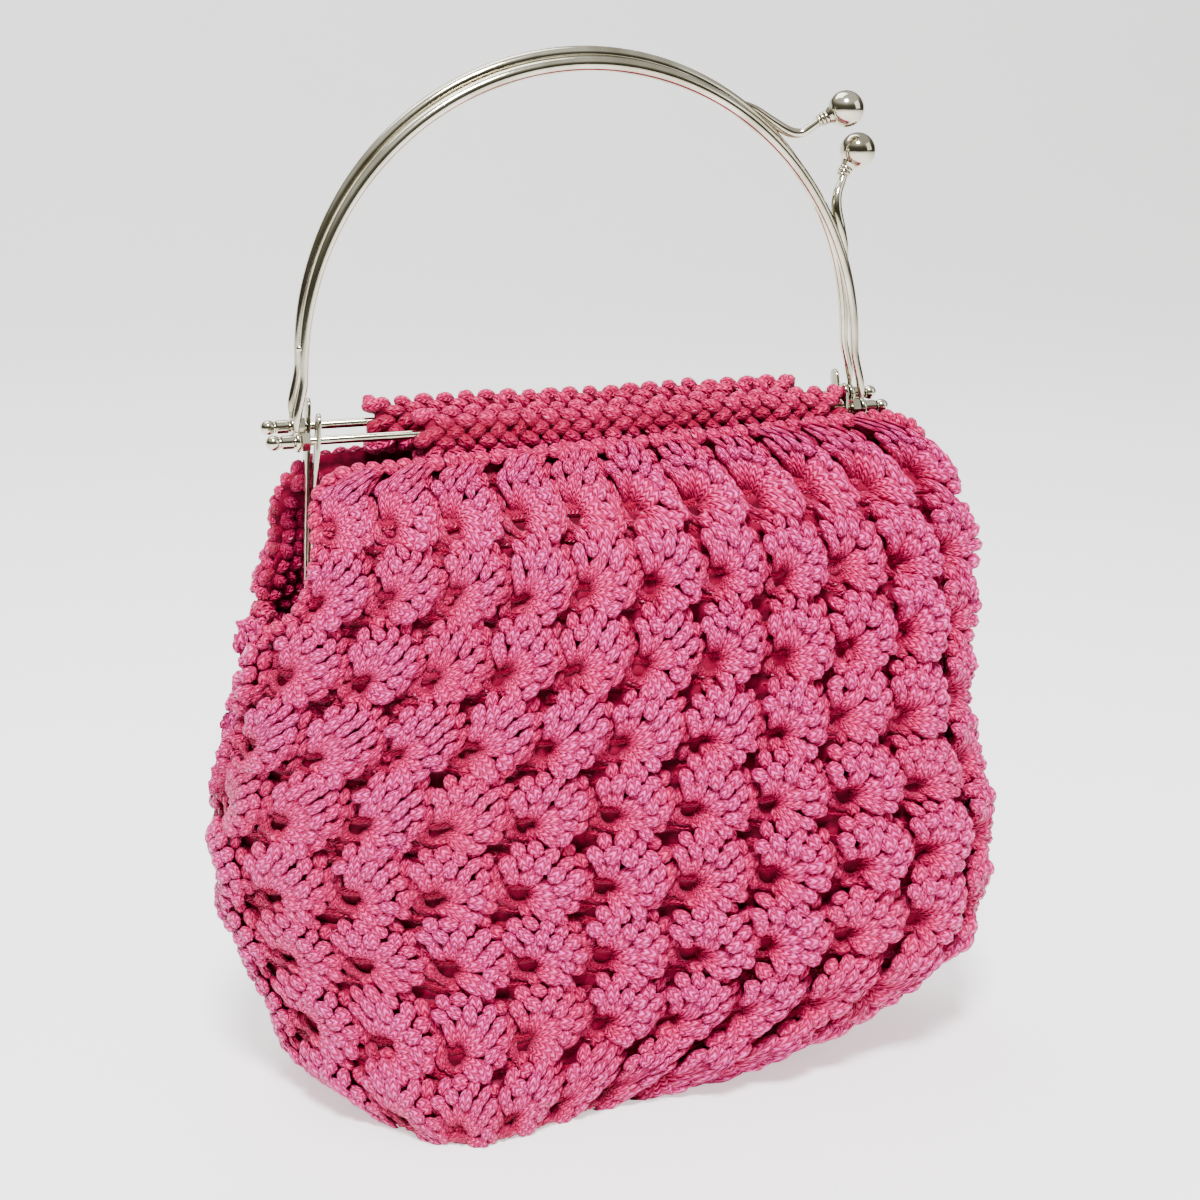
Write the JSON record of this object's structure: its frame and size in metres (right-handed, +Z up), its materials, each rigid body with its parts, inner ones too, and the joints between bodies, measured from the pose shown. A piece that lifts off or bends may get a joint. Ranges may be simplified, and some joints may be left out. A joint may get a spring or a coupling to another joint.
{
  "type": "crocheted handbag",
  "caption": "Crocheted shell-stitch handbag with flat base, carried by rods in plain-stitch casings on a polished double hoop handle with a ball clasp",
  "frame": {"origin": "middle of the bounding box of the whole bag, on the surface it stands on", "axes": "+Z up through the hoops, -Y the front of the bag, +X to the right along the rods as seen from the front"},
  "size_m": [0.3066, 0.1252, 0.3955],
  "materials": {
    "yarn": "satin",
    "metal": "polished"
  },
  "bodies": {
    "root": {"crochet_bag": "yarn", "front_casing": "yarn", "back_casing": "yarn", "front_hoop": "metal", "back_hoop": "metal", "front_rod": "metal", "back_rod": "metal", "left_front_leg": "metal", "left_back_leg": "metal", "right_front_leg": "metal", "right_back_leg": "metal", "left_hinge_pin": "metal", "right_hinge_pin": "metal", "left_front_hex_nut": "metal", "left_back_hex_nut": "metal", "right_front_hex_nut": "metal", "right_back_hex_nut": "metal", "left_front_collar": "metal", "left_back_collar": "metal", "right_front_collar": "metal", "right_back_collar": "metal", "left_front_ball_nut": "metal", "left_back_ball_nut": "metal", "right_front_ball_nut": "metal", "right_back_ball_nut": "metal"}
  },
  "joints": []
}
